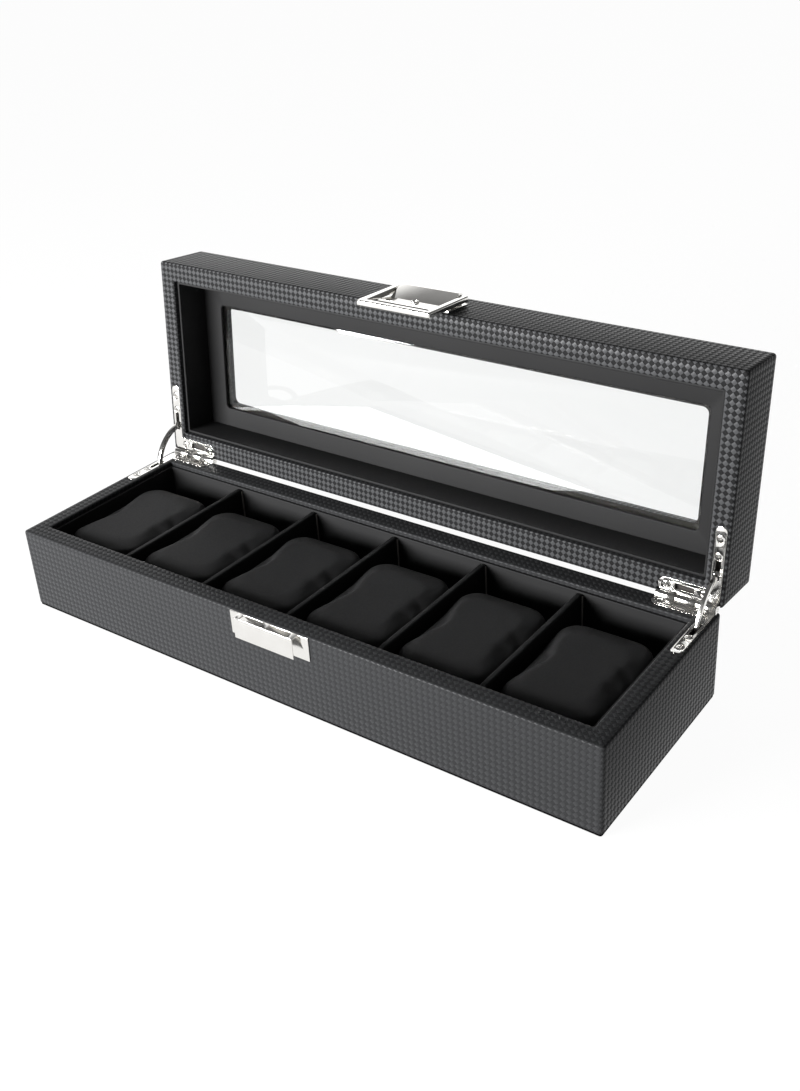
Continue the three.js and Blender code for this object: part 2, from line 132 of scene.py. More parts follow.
def bmesh_piece(name, bm, turn=Matrix.Identity(4)):
    bmesh.ops.recalc_face_normals(bm, faces=bm.faces)
    mesh = bpy.data.meshes.new(name)
    bm.to_mesh(mesh)
    bm.free()
    mesh.transform(turn)
    return new_object(name, mesh)


def loft(name, rings, closed):
    """Quads between neighbouring rings: a closed loop of rings is a ring-shaped solid, an open row is capped.
    With the piece comes each quad's corners, as (its ring point, whether it closes the round trip)."""
    count = len(rings[0])
    vertices = [Vector(p[:3]) * MM for points in rings for p in points]
    rows = len(rings) if closed else len(rings) - 1
    faces, corners = [], []
    for i in range(rows):
        low, high = i, (i + 1) % len(rings)
        for k in range(count):
            following = (k + 1) % count
            quad = [(low, k), (low, following), (high, following), (high, k)]
            faces.append([r * count + c for r, c in quad])
            corners.append([(rings[r][c], c == 0 and k == count - 1) for r, c in quad])
    if not closed:
        faces.append(list(reversed(range(count))))
        faces.append(list(range(len(vertices) - count, len(vertices))))
    return mesh_piece(name, vertices, faces), corners


RIM_SHIFT = 1000  # whole repeats of the weave, which tell the shader that a face is on the lid's rim, where the weave's colour carries a stronger painted sheen


def weave_uv(piece, corners, outer_plan, top, rim=None):
    """Lays the weave square to every edge: along the walls by the perimeter, over level faces by x and y.
    Faces level with rim are shifted by RIM_SHIFT, so the shader paints a stronger sheen on them."""
    mesh = piece.data
    layer = mesh.uv_layers.new(name="weave")
    (x0, x1), (y0, y1) = outer_plan
    round_trip = 2 * (LENGTH + DEPTH)
    for face, quad in zip(mesh.polygons, corners):
        normal = face.normal
        shift = RIM_SHIFT if rim is not None and abs(face.center.z / MM - rim) < 1 else 0
        for loop, ((x, y, z, u), wraps) in zip(face.loop_indices, quad):
            outside = x < x0 + CORNER or x > x1 - CORNER or y < y0 + CORNER or y > y1 - CORNER
            if abs(normal.z) > 0.7:
                at = (x - x0, y - y0)
            elif outside:
                at = (u + (round_trip if wraps else 0), z - top)
            elif abs(normal.x) > abs(normal.y):
                at = (y - y0, z - top)
            else:
                at = (x - x0, z - top)
            layer.data[loop].uv = (at[0] / WEAVE + shift, at[1] / WEAVE)


def rounded_block(name, plan, z, corner, foot, head, steps=CORNER_STEPS, edge_steps=4):
    """A block with round upright corners, and rounded edges at its foot and head."""
    rings = [ring(grown(plan, -inset), corner - inset, z[0] + drop, steps)
             for inset, drop in reversed(list(quarter(foot, edge_steps)))]
    rings += [ring(grown(plan, -inset), corner - inset, z[1] - drop, steps)
              for inset, drop in quarter(head, edge_steps)]
    return loft(name, rings, closed=False)[0]


def box_piece(name, x, y, z):
    """A plain box between two values on each axis."""
    (x0, x1), (y0, y1) = sorted(x), sorted(y)
    plan = (x0, y0), (x1, y0), (x1, y1), (x0, y1)
    vertices = [Vector((*corner, height)) * MM for height in sorted(z) for corner in plan]
    faces = [(3, 2, 1, 0), (4, 5, 6, 7), (0, 1, 5, 4), (1, 2, 6, 5), (2, 3, 7, 6), (3, 0, 4, 7)]
    return mesh_piece(name, vertices, faces)


def turned(name, outline, sides=40):
    """An outline of (radius, height), from the axis and back to it, turned about Z."""
    bm = bmesh.new()
    angles = [2 * math.pi * k / sides for k in range(sides)]
    rows = []
    for radius, height in outline:
        around = angles if radius else [0.0]
        rows.append([bm.verts.new(Vector((radius * math.cos(a), radius * math.sin(a), height)) * MM)
                     for a in around])
    for low, high in zip(rows, rows[1:]):
        for k in range(sides):
            n = (k + 1) % sides
            quad = [low[k % len(low)], low[n % len(low)], high[n % len(high)], high[k % len(high)]]
            bm.faces.new(list(dict.fromkeys(quad)))
    return bmesh_piece(name, bm)


def cylinder(name, radius, length, sides, bevel=0.0):
    end = [(radius, 0)]
    if bevel:
        end = [(radius - bevel, 0), (radius, bevel)]
    outline = [(0, 0)] + end + [(r, length - h) for r, h in reversed(end)] + [(0, length)]
    return turned(name, outline, sides)


def rod(name, radius, x, y, z, sides=40, bevel=0.0):
    """A rod along X."""
    piece = cylinder(name, radius, abs(x[1] - x[0]), sides, bevel)
    turn = Matrix.Rotation(math.pi / 2, 4, "Y")
    piece.data.transform(Matrix.Translation(Vector((min(x), y, z)) * MM) @ turn)
    return piece


def post(name, radius, x, y, z):
    """A post along Z."""
    piece = cylinder(name, radius, abs(z[1] - z[0]), sides=40)
    piece.data.transform(Matrix.Translation(Vector((x, y, min(z))) * MM))
    return piece


def arc(x, y, radius, start, end, steps=12):
    """Points round part of a circle, between two angles in degrees."""
    angles = [math.radians(start + (end - start) * k / steps) for k in range(steps + 1)]
    return [(x + radius * math.cos(a), y + radius * math.sin(a)) for a in angles]


def extruded(name, outline, depth, turn=Matrix.Identity(4)):
    """A closed outline drawn level and raised between two heights, then turned."""
    bm = bmesh.new()
    low, high = ([bm.verts.new(Vector((x, y, z)) * MM) for x, y in outline] for z in sorted(depth))
    bm.faces.new(low)
    bm.faces.new(high)
    for k in range(len(outline)):
        n = (k + 1) % len(outline)
        bm.faces.new([low[k], low[n], high[n], high[k]])
    return bmesh_piece(name, bm, turn)


SIDEWAYS = Matrix(((0, 0, 1, 0), (1, 0, 0, 0), (0, 1, 0, 0), (0, 0, 0, 1)))  # x, y and height to y, z and x


def settle(piece):
    """Applies a piece's modifiers to its mesh."""
    bpy.context.view_layer.update()
    shape = bpy.data.meshes.new_from_object(piece.evaluated_get(bpy.context.evaluated_depsgraph_get()))
    piece.modifiers.clear()
    piece.data = shape


def combine(piece, tools, operation="DIFFERENCE"):
    """Cuts the tools out of a piece, or joins them to it."""
    for tool in tools:
        modifier = piece.modifiers.new("cut", "BOOLEAN")
        modifier.operation = operation
        modifier.solver = "EXACT"
        modifier.object = tool
        settle(piece)
        bpy.data.objects.remove(tool)


def ease(piece, width, segments=2):
    """Rounds a piece's sharp edges."""
    bm = bmesh.new()
    bm.from_mesh(piece.data)
    bmesh.ops.remove_doubles(bm, verts=bm.verts, dist=1e-6)
    bmesh.ops.dissolve_limit(bm, angle_limit=math.radians(1), verts=bm.verts, edges=bm.edges)
    sharp = [e for e in bm.edges if len(e.link_faces) == 2 and e.calc_face_angle() > math.radians(30)]
    bmesh.ops.bevel(bm, geom=sharp, offset=width * MM, segments=segments, profile=0.5, affect="EDGES",
                    clamp_overlap=True)
    bm.to_mesh(piece.data)
    bm.free()


def dress(piece, material, body, replaces, place=BASE, name=None, smooth=35):
    """Finishes a piece: puts it in place, smooths its edges up to an angle, and joins it to the frame."""
    piece.name = name or piece.name
    piece.data.transform(place)
    piece.data.materials.clear()
    piece.data.materials.append(material)
    for face in piece.data.polygons:
        face.material_index = 0
    piece.data.shade_smooth()
    piece.data.set_sharp_from_angle(angle=math.radians(smooth))
    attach(piece, body)
    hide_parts(*replaces)


# ---- Materials ----
class Wiring:
    """A node tree and a few words for wiring it. A value is a constant or another node's output."""

    def __init__(self, tree):
        self.tree = tree

    def feed(self, value, socket):
        if isinstance(value, bpy.types.NodeSocket):
            self.tree.links.new(value, socket)
        else:
            socket.default_value = value

    def compute(self, operation, *values):
        node = self.tree.nodes.new("ShaderNodeMath")
        node.operation = operation
        for value, socket in zip(values, node.inputs):
            self.feed(value, socket)
        return node.outputs[0]

    def separate(self, vector):
        node = self.tree.nodes.new("ShaderNodeSeparateXYZ")
        self.feed(vector, node.inputs[0])
        return node.outputs

    def spread(self, value, low, high, source=(0.0, 1.0), smooth=False):
        """Carries the values between the two of source to those between low and high."""
        node = self.tree.nodes.new("ShaderNodeMapRange")
        if smooth:
            node.interpolation_type = "SMOOTHSTEP"
        self.feed(value, node.inputs["Value"])
        for socket, number in zip(("From Min", "From Max", "To Min", "To Max"), (*source, low, high)):
            node.inputs[socket].default_value = number
        return node.outputs["Result"]


class Shader(Wiring):
    """A Principled material, with words for its textures and sockets."""

    def __init__(self, name, color, roughness, metallic=0.0):
        self.material = bpy.data.materials.new(name)
        self.material.use_nodes = True
        self.material.diffuse_color = (*color, 1)
        super().__init__(self.material.node_tree)
        self.principled = self.tree.nodes["Principled BSDF"]
        self.coordinates = self.tree.nodes.new("ShaderNodeTexCoord").outputs["Object"]
        self.set("Base Color", (*color, 1))
        self.set("Roughness", roughness)
        self.set("Metallic", metallic)

    def set(self, socket, value):
        self.feed(value, self.principled.inputs[socket])

    def noise(self, scale, detail=2.0, roughness=0.5):
        node = self.tree.nodes.new("ShaderNodeTexNoise")
        node.inputs["Scale"].default_value = scale
        node.inputs["Detail"].default_value = detail
        node.inputs["Roughness"].default_value = roughness
        self.feed(self.coordinates, node.inputs["Vector"])
        return node.outputs["Fac"]

    def mix(self, factor, a, b):
        node = self.tree.nodes.new("ShaderNodeMix")
        node.data_type = "RGBA"
        self.feed(factor, node.inputs["Factor"])
        for value, socket in ((a, node.inputs[6]), (b, node.inputs[7])):
            self.feed(value if isinstance(value, bpy.types.NodeSocket) else (*value, 1), socket)
        return node.outputs[2]

    def bump(self, height, distance, strength):
        node = self.tree.nodes.new("ShaderNodeBump")
        node.inputs["Strength"].default_value = strength
        node.inputs["Distance"].default_value = distance * MM
        self.feed(height, node.inputs["Height"])
        self.set("Normal", node.outputs["Normal"])


def woven_leatherette():
    """Charcoal leatherette embossed with an over-and-under weave laid on the bias, which shows as diamonds.
    Strands running one way are painted lighter and those running the other way darker, a painted sheen, far
    stronger on the lid's rim where it stands in for the rim's gloss. Its grooves are painted darker, a
    painted shade."""
    shader = Shader("woven_leatherette", (0.04, 0.041, 0.044), 0.42)
    shader.set("Specular IOR Level", 0.07)
    uv = shader.tree.nodes.new("ShaderNodeUVMap")
    uv.uv_map = "weave"
    u, v, _ = shader.separate(uv.outputs["UV"])
    strands = shader.compute("ADD", u, v), shader.compute("SUBTRACT", u, v)
    warp, weft = (shader.compute("SINE", shader.compute("MULTIPLY", strand, math.pi)) for strand in strands)
    over = shader.spread(shader.compute("MULTIPLY", warp, weft), 0.0, 1.0, source=(-0.1, 0.1), smooth=True)
    warp_height, weft_height = (shader.compute("ABSOLUTE", wave) for wave in (warp, weft))
    difference = shader.compute("SUBTRACT", warp_height, weft_height)
    height = shader.compute("MULTIPLY_ADD", over, difference, weft_height)
    raised = shader.compute("POWER", height, 0.6)
    worn = shader.noise(9.0, 3.0)
    # Painted sheen: strands running one way are painted darker and the other way lighter, far more so on the
    # lid's rim, where this stands in for its gloss.
    rim_sheen = shader.compute("GREATER_THAN", u, RIM_SHIFT / 2)
    dark = shader.mix(rim_sheen, (0.0150, 0.0153, 0.0161), (0.0050, 0.0051, 0.0054))
    light = shader.mix(rim_sheen, (0.0258, 0.0264, 0.0276), (0.0500, 0.0510, 0.0530))
    squares = shader.mix(over, dark, light)
    faded = shader.mix(shader.compute("MULTIPLY", worn, 0.25), squares, (0.035, 0.0355, 0.037))
    # Painted shade: the weave's low grooves are painted darker.
    groove_shade = shader.spread(raised, 0.3, 1.0, source=(0.0, 0.5))
    shader.set("Base Color", shader.mix(groove_shade, (0.0045, 0.0045, 0.005), faded))
    shader.set("Roughness", shader.spread(over, 0.6, 0.3))
    ribs = shader.compute("SINE", shader.compute("MULTIPLY", strands[0], math.pi * 8))
    relief = shader.compute("MULTIPLY_ADD", ribs, 0.04, shader.compute("MULTIPLY_ADD", over, 0.35, raised))
    shader.bump(relief, 0.16, 0.8)
    return shader.material


def smooth_leatherette(name, color, roughness, grain):
    """Plain matte leatherette with a fine pebble grain."""
    shader = Shader(name, color, roughness)
    shader.set("Specular IOR Level", 0.09)
    cloud = shader.noise(22.0, 3.0)
    shader.set("Base Color", shader.mix(cloud, tuple(c * 0.82 for c in color), tuple(c * 1.2 for c in color)))
    pebble = shader.noise(1500.0, 2.0)
    shader.set("Roughness", shader.spread(pebble, roughness - 0.05, roughness + 0.07, source=(0.3, 0.7)))
    shader.bump(pebble, grain, 0.5)
    return shader.material


def nickel_plate():
    shader = Shader("nickel_plate", (0.83, 0.815, 0.785), 0.13, metallic=1.0)
    cloud = shader.noise(160.0, 3.0)
    shader.set("Base Color", shader.mix(cloud, (0.79, 0.775, 0.745), (0.86, 0.85, 0.825)))
    shader.set("Roughness", shader.spread(cloud, 0.09, 0.19, source=(0.3, 0.7)))
    shader.bump(shader.noise(420.0, 2.0), 0.004, 0.1)
    return shader.material


def darkened_fibreboard():
    """The bare fibreboard of the walls, painted near-black: painted shade where it shows in the hinge slots
    and pockets, and the colour of the black lining where it shows at the window's edge.
    """
    shader = Shader("darkened_fibreboard", (0.02, 0.018, 0.016), 0.85)
    fleck = shader.noise(900.0, 4.0)
    shader.set("Base Color", shader.mix(fleck, (0.009, 0.008, 0.007), (0.032, 0.028, 0.024)))
    shader.bump(fleck, 0.08, 0.6)
    return shader.material


def black_felt():
    shader = Shader("black_felt", (0.003, 0.003, 0.0032), 0.95)
    shader.set("Specular IOR Level", 0.02)
    fibre = shader.noise(1300.0, 4.0, roughness=0.7)
    shader.set("Base Color", shader.mix(fibre, (0.001, 0.001, 0.0011), (0.0045, 0.0045, 0.0048)))
    shader.bump(fibre, 0.1, 0.6)
    return shader.material


def window_pane():
    shader = Shader("window_pane", (0.965, 0.975, 0.97), 0.0)
    shader.set("Transmission Weight", 1.0)
    shader.set("IOR", 1.5)
    smear = shader.noise(14.0, 3.0)
    shader.set("Roughness", shader.spread(smear, 0.0, 0.012, source=(0.45, 0.75)))
    return shader.material


WOVEN = woven_leatherette()
LINING = smooth_leatherette("lining_leatherette", (0.0125, 0.0125, 0.0128), 0.52, 0.05)
PILLOW_COVER = smooth_leatherette("pillow_leatherette", (0.0180, 0.0180, 0.0184), 0.6, 0.04)
NICKEL = nickel_plate()
BOARD = darkened_fibreboard()
FELT = black_felt()
# Painted highlight: a pale colour for the strip along each divider's back edge.
PAINTED_EDGE_HIGHLIGHT = smooth_leatherette("painted_edge_highlight", (0.30, 0.29, 0.27), 0.8, 0.05)
PANE = window_pane()


# ---- Hinge recesses, given from the hinge axis like the leaves themselves ----
HALF_GAP = 0.25
LEAF = 1.2
SIDE_LEG = {"x": 156, "half": 2.5, "end": -35.3}
BACK_LEG = {"inner": 133.7, "outer": 158.5, "front": -8.3, "back": -1.5}
BACK_LEG_MIDDLE = (BACK_LEG["front"] + BACK_LEG["back"]) / 2
BACK_LEG_HALF = (BACK_LEG["back"] - BACK_LEG["front"]) / 2
KNUCKLE = {"radius": 2, "inner": 130, "outer": 158}
KNUCKLE_BED = -2.8, 1.2  # what the knuckles' webs take out of the back wall, along y
STAY_POCKET = {"half": 2, "front": -23, "back": -11, "lid_depth": 3.5, "base_depth": 29.35}


def across(side, near, far):
    """A stretch along x, on the left for side -1 and on the right for side 1."""
    return sorted((side * near, side * far))


def leaf_recess(side, level):
    """Cutting pieces for what one leaf takes out of a cover. Level is +1 on the lid and -1 on the base."""
    deep = level * (HALF_GAP - 1), level * (HALF_GAP + LEAF + FIT)
    x, half = SIDE_LEG["x"], SIDE_LEG["half"] + FIT
    inner, end = BACK_LEG["inner"], BACK_LEG["outer"] + FIT
    back = BACK_LEG["back"] + FIT
    knuckle = across(side, KNUCKLE["inner"] - FIT, end)
    pocket = 0, STAY_POCKET["lid_depth"] if level > 0 else -STAY_POCKET["base_depth"]
    return [
        box_piece("cut", across(side, x - half, x + half), (SIDE_LEG["end"], back), deep),
        post("cut", half, side * x, SIDE_LEG["end"], deep),
        box_piece("cut", across(side, inner, end), (BACK_LEG["front"] - FIT, back), deep),
        post("cut", BACK_LEG_HALF + FIT, side * inner, BACK_LEG_MIDDLE, deep),
        box_piece("cut", knuckle, KNUCKLE_BED, deep),
        rod("cut", KNUCKLE["radius"] + FIT, knuckle, 0, 0),
        box_piece("cut", across(side, x - STAY_POCKET["half"], x + STAY_POCKET["half"]),
                  (STAY_POCKET["front"], STAY_POCKET["back"]), pocket),
    ]


# ---- Base ----
def cover_rings(plans, path):
    """Rings for a cover's cross-section. A step is (the edge it follows, how far into the cover, height)."""
    edges = {"outer": (CORNER, -1), "inner": (INNER_CORNER, 1), "window": (WINDOW_EDGE_CORNER, 1)}
    rings = []
    for edge, inset, z in path:
        corner, way = edges[edge]
        rings.append(ring(grown(plans[edge], way * inset), corner + way * inset, z))
    return rings


def base_wrap():
    cover = Span("base_cover", BASE)
    plans = {"outer": cover.plan(), "inner": Span("base_liner_walls", BASE).plan(FIT)}
    low, top = cover.z
    underlap, underside = 6, 0.28  # how far it reaches under the base, and its thickness there
    turn_in = 15  # how far it reaches down inside the rim
    path = [("outer", underlap, low + 0.1), ("outer", 0.6, low + 0.05)]
    path += [("outer", inset, low + drop) for inset, drop in reversed(list(quarter(0.5, 3)))]
    path += [("outer", inset, top - drop) for inset, drop in quarter(1.0)]
    path += [("inner", inset, top - drop) for inset, drop in reversed(list(quarter(0.8)))]
    path += [("inner", 0, top - turn_in), ("inner", SKIN, top - turn_in), ("inner", SKIN, top - SKIN)]
    path += [("outer", SKIN, top - SKIN), ("outer", SKIN, low + underside)]
    path += [("outer", underlap, low + underside)]
    piece, corners = loft("base_wrap", cover_rings(plans, path), closed=True)
    weave_uv(piece, corners, cover.plan(), top)
    piece.data.transform(HINGE.inverted())
    for side in (-1, 1):
        combine(piece, leaf_recess(side, -1))
    dress(piece, WOVEN, "base", ["base_cover"], place=HINGE)


def lining_ring(name, node, place, body, upward):
    """A wall lining on card: a closed strip round the inside, eased at the end that shows."""
    span = Span(node, place)
    plan, thick, corner = span.plan(), 1.3, 0.5
    hidden, shown = span.z if upward else reversed(span.z)
    eased = [(inset, shown - drop if upward else shown + drop) for inset, drop in quarter(0.35, 3)]
    rings = [ring(plan, corner, hidden)]
    rings += [ring(grown(plan, -inset), corner, z) for inset, z in eased]
    rings += [ring(grown(plan, inset - thick), corner, z) for inset, z in reversed(eased)]
    rings.append(ring(grown(plan, -thick), corner, hidden))
    piece, _ = loft(name, rings if upward else rings[::-1], closed=True)
    dress(piece, LINING, body, [node], place=place, smooth=60)


def base_inside():
    lining_ring("base_wall_lining", "base_liner_walls", BASE, "base", upward=True)
    floor = Span("base_liner_floor", BASE)
    piece = rounded_block("base_floor_lining", floor.plan(), floor.z, corner=0.6, foot=0.2, head=0.5)
    dress(piece, LINING, "base", ["base_liner_floor"])
    for i in range(1, DIVIDERS + 1):
        span = Span(f"divider_{i}", BASE)
        piece = rounded_block(f"divider_pad_{i}", span.plan(), span.z, corner=0.5, foot=0.3, head=0.9,
                              edge_steps=6)
        dress(piece, LINING, "base", [f"divider_{i}"], smooth=60)
        side, back = span.x[1], span.y[1]
        edge = box_piece(f"divider_edge_{i}", (side - 0.4, side + 0.35), (back - 0.7, back + 0.1),
                         (span.z[0] + 8, span.z[1] - 1))  # a pale strip at the divider's back end, a painted highlight on that edge
        ease(edge, 0.12)
        dress(edge, PAINTED_EDGE_HIGHLIGHT, "base", [])
    felt = Span("base_felt", BASE)
    piece = rounded_block("underside_felt", felt.plan(), felt.z, corner=1.1, foot=0.2, head=0.2)
    dress(piece, FELT, "base", ["base_felt"])


# ---- Pillows ----
def inflate(piece, voxel, pressure, reach, box):
    """Blows a closed shape up as sewn cloth. No point moves further than reach, or out of its slot's box."""
    remesh = piece.modifiers.new("remesh", "REMESH")
    remesh.mode = "VOXEL"
    remesh.voxel_size = voxel * MM
    settle(piece)
    start = [v.co.copy() for v in piece.data.vertices]
    cloth = piece.modifiers.new("cloth", "CLOTH")
    cloth.settings.quality = 6
    cloth.settings.mass = 0.2
    cloth.settings.tension_stiffness = 12
    cloth.settings.compression_stiffness = 12
    cloth.settings.bending_stiffness = 0.6
    cloth.settings.use_pressure = True
    cloth.settings.uniform_pressure_force = pressure
    cloth.settings.effector_weights.gravity = 0
    for number in range(1, 21):
        bpy.context.scene.frame_set(number)
    settle(piece)
    bpy.context.scene.frame_set(1)
    low, high = box
    for vertex, origin in zip(piece.data.vertices, start):
        move = vertex.co - origin
        if move.length > reach * MM:
            vertex.co = origin + move.normalized() * reach * MM
        vertex.co = Vector(min(max(c, a), b) for c, a, b in zip(vertex.co, low, high))
    smooth = piece.modifiers.new("smooth", "SUBSURF")
    smooth.levels = smooth.render_levels = 1
    settle(piece)


def pillows():
    low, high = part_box("pillow_1")
    span = Span("pillow_1", BASE)
    shrink = 1  # room left for the cloth to swell into
    blank = rounded_block("pillow_blank", grown(span.plan(), -shrink), (span.z[0] + 0.2, span.z[1] - shrink),
                          corner=11, foot=5, head=3.4, steps=8, edge_steps=6)
    inflate(blank, voxel=1.8, pressure=4, reach=1.8, box=(low, high))
    middle = (low + high) / 2
    for i in range(1, DIVIDERS + 2):
        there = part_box(f"pillow_{i}")
        piece = new_object(f"watch_pillow_{i}", blank.data.copy())
        piece.data.transform(Matrix.Translation((there[0] + there[1]) / 2 - middle))
        dress(piece, PILLOW_COVER, f"pillow_{i}", [f"pillow_{i}"], smooth=180)
    bpy.data.objects.remove(blank)


# ---- Lid ----
LAP = 6  # how far the glass reaches past the window's edge
WINDOW_CORNER = 2  # the inner panel's opening


def lid_wrap():
    cover = Span("lid_cover", LID)
    glass = Span("window_glass", LID)
    inner = Span("lid_liner_walls", LID)
    plans = {"outer": cover.plan(), "inner": inner.plan(FIT), "window": glass.plan(-LAP)}
    low, top = cover.z
    deep = glass.z[1] + FIT
    turn_in = 10  # how far it reaches up inside the rim
    path = [("inner", 0, low + turn_in)]
    path += [("inner", inset, low + drop) for inset, drop in quarter(0.8)]
    path += [("outer", inset, low + drop) for inset, drop in reversed(list(quarter(1.0)))]
    path += [("outer", inset, top - drop) for inset, drop in quarter(2.0, 6)]
    path += [("window", inset - 0.5, top - drop) for inset, drop in reversed(list(quarter(1.5, 5)))]
    path += [("window", -0.5, deep), ("window", -0.1, deep), ("window", -0.1, top - SKIN)]
    path += [("outer", SKIN, top - SKIN), ("outer", SKIN, low + SKIN), ("inner", SKIN, low + SKIN)]
    path += [("inner", SKIN, low + turn_in)]
    piece, corners = loft("lid_wrap", cover_rings(plans, path), closed=True)
    weave_uv(piece, corners, cover.plan(), top, rim=low)
    for side in (-1, 1):
        combine(piece, leaf_recess(side, 1))
    dress(piece, WOVEN, "lid", ["lid_cover"], place=LID)


def lid_inside():
    lining_ring("lid_wall_lining", "lid_liner_walls", LID, "lid", upward=False)
    panel = Span("window_liner_panel", LID)
    glass = Span("window_glass", LID)
    opening = glass.plan(1.5 - LAP)  # a little wider than the cover's
    low, high = panel.z
    rings = [ring(panel.plan(), 0.5, low), ring(panel.plan(), 0.5, high), ring(opening, WINDOW_CORNER, high)]
    rings += [ring(grown(opening, inset), WINDOW_CORNER + inset, low + drop) for inset, drop in quarter(0.6)]
    piece, _ = loft("window_surround", rings, closed=True)
    dress(piece, LINING, "lid", ["window_liner_panel"], place=LID, smooth=50)
    pane = rounded_block("glass_pane", glass.plan(), glass.z, WINDOW_CORNER + LAP / 2, foot=0.3, head=0.3,
                         edge_steps=2)
    dress(pane, PANE, "lid", ["window_glass"], place=LID)


# ---- Hinges, drawn from the hinge axis ----
SCREWS = {"side_front": (156, -32.3), "side_back": (156, -24.3),
          "inner": (133.9, -4.9), "corner": (151.3, -4.9)}
SCREW_SEAT = [(0, -9), (1, -9), (1, -1.1), (1.95, -0.25), (1.95, 1), (0, 1)]
SCREW_HEAD = [(0, -2.2), (0.8, -2.2), (0.8, -1.15), (1.7, -0.35), (1.75, -0.12), (1.6, 0), (1.1, 0.08),
              (0, 0.1)]
HINGE_PIN = 0.65
LEAF_CORNER = 3
LEAF_WINDOW = {"inner": 138, "outer": 147, "front": -6.6, "back": -4}  # through the lid leaf's back leg
STAY_PIVOT = Vector((0, -15.5, 1.2))
STAY = {"bow": 4.2, "width": 2.4, "thick": 1.6, "eye": 2, "pin": 0.8, "tail": 2.6, "head": 1.7}
STAY_SLOT = {"half": 1.15, "front": -22.3, "back": -12.9}
STAY_PIN_REACH = STAY_SLOT["half"] + 0.6


def leaf_outline(side):
    x, half = SIDE_LEG["x"], SIDE_LEG["half"]
    outline = arc(BACK_LEG["outer"] - LEAF_CORNER, BACK_LEG["back"] - LEAF_CORNER, LEAF_CORNER, 0, 90, 8)
    outline += arc(BACK_LEG["inner"], BACK_LEG_MIDDLE, BACK_LEG_HALF, 90, 270, 16)
    outline += [(x - half, BACK_LEG["front"])]
    outline += arc(x, SIDE_LEG["end"], half, 180, 360, 16)
    return [(side * x, y) for x, y in outline]


def leaf(side, level):
    """An L-shaped leaf with its share of the knuckles. Level is +1 on the lid and -1 on the base."""
    z = level * HALF_GAP, level * (HALF_GAP + LEAF)
    x = SIDE_LEG["x"]
    piece = extruded("leaf", leaf_outline(side), z)
    third = (KNUCKLE["outer"] - KNUCKLE["inner"]) / 3
    first, last = KNUCKLE["inner"] + third, KNUCKLE["outer"] - third
    middle = [(first + FIT / 2, last - FIT / 2)]
    ends = [(KNUCKLE["inner"], first - FIT / 2), (last + FIT / 2, KNUCKLE["outer"])]
    own, others = (middle, ends) if level > 0 else (ends, middle)
    cuts = [box_piece("cut", across(side, x - STAY_SLOT["half"], x + STAY_SLOT["half"]),
                      (STAY_SLOT["front"], STAY_SLOT["back"]), (z[0] - level, z[1] + level))]
    cuts += [rod("cut", KNUCKLE["radius"] + FIT, across(side, a - FIT, b + FIT), 0, 0) for a, b in others]
    combine(piece, cuts)
    for a, b in own:
        web = box_piece("web", across(side, a, b), (BACK_LEG["back"] - 1, 0), z)
        combine(piece, [web, rod("knuckle", KNUCKLE["radius"], across(side, a, b), 0, 0)], "UNION")
    cuts = [rod("cut", HINGE_PIN + 0.1, across(side, KNUCKLE["inner"] - 1, BACK_LEG["outer"] + 1), 0, 0, 24)]
    cuts += [screw_place(turned("cut", SCREW_SEAT, 32), side, level, *at) for at in SCREWS.values()]
    if level > 0:
        cuts.append(box_piece("cut", across(side, LEAF_WINDOW["inner"], LEAF_WINDOW["outer"]),
                              (LEAF_WINDOW["front"], LEAF_WINDOW["back"]), (-1, 3)))
        cuts.append(stay_pin("cut", side, FIT))
    combine(piece, cuts)
    ease(piece, 0.14)
    return piece


def screw_place(piece, side, level, x, y):
    """Stands a piece drawn upright on a leaf's open face."""
    turn = Matrix.Rotation(math.pi if level > 0 else 0, 4, "X")
    piece.data.transform(Matrix.Translation(Vector((side * x, y, level * HALF_GAP)) * MM) @ turn)
    return piece


def screw_head(side, level, x, y):
    head = turned("head", SCREW_HEAD, 32)
    arm, half = 1.1, 0.24
    combine(head, [box_piece("cut", (-arm, arm), (-half, half), (-0.55, 1)),
                   box_piece("cut", (-half, half), (-arm, arm), (-0.55, 1))])
    return screw_place(head, side, level, x, y)


def stay_pin(name, side, room=0.0, bevel=0.0):
    """The pin that holds a stay, across the lid leaf's slot, with room round it when it is cut out."""
    x, reach = SIDE_LEG["x"], STAY_PIN_REACH + room
    return rod(name, STAY["pin"] + room, across(side, x - reach, x + reach), STAY_PIVOT.y, STAY_PIVOT.z, 24,
               bevel)


def stay_outline():
    """The stay's bowed strip from its side, as (y, z) from its pivot, and the middle of its head.
    It hangs down, and is long enough to reach the base leaf's slot when the lid is open."""
    to_pivot = math.hypot(STAY_PIVOT.y, STAY_PIVOT.z)
    chord = 2 * to_pivot * math.sin(OPEN_ANGLE / 2 + math.atan2(STAY_PIVOT.z, -STAY_PIVOT.y))
    radius = (chord ** 2 / 4 + STAY["bow"] ** 2) / (2 * STAY["bow"])
    reach = math.asin(chord / 2 / radius)
    end = reach + STAY["tail"] / radius
    steps = 28
    angles = [-reach + (end + reach) * k / steps for k in range(steps + 1)]
    half = STAY["width"] / 2
    outer, inner, middle = ([(radius - STAY["bow"] - r * math.cos(a), -chord / 2 - r * math.sin(a))
                             for a in angles] for r in (radius + half, radius - half, radius))
    return outer + inner[::-1], middle[-1]


def stay(side):
    x = side * SIDE_LEG["x"]
    outline, (head_y, head_z) = stay_outline()
    width = x - STAY["thick"] / 2, x + STAY["thick"] / 2
    head = x - STAY["head"], x + STAY["head"]
    piece = extruded("stay", outline, width, SIDEWAYS)
    combine(piece, [rod("eye", STAY["eye"], width, 0, 0),
                    rod("head", STAY["width"] / 2, head, head_y, head_z, 24)], "UNION")
    combine(piece, [rod("cut", STAY["pin"] + FIT, (x - 6, x + 6), 0, 0, 24)])
    ease(piece, 0.3, 3)
    return piece


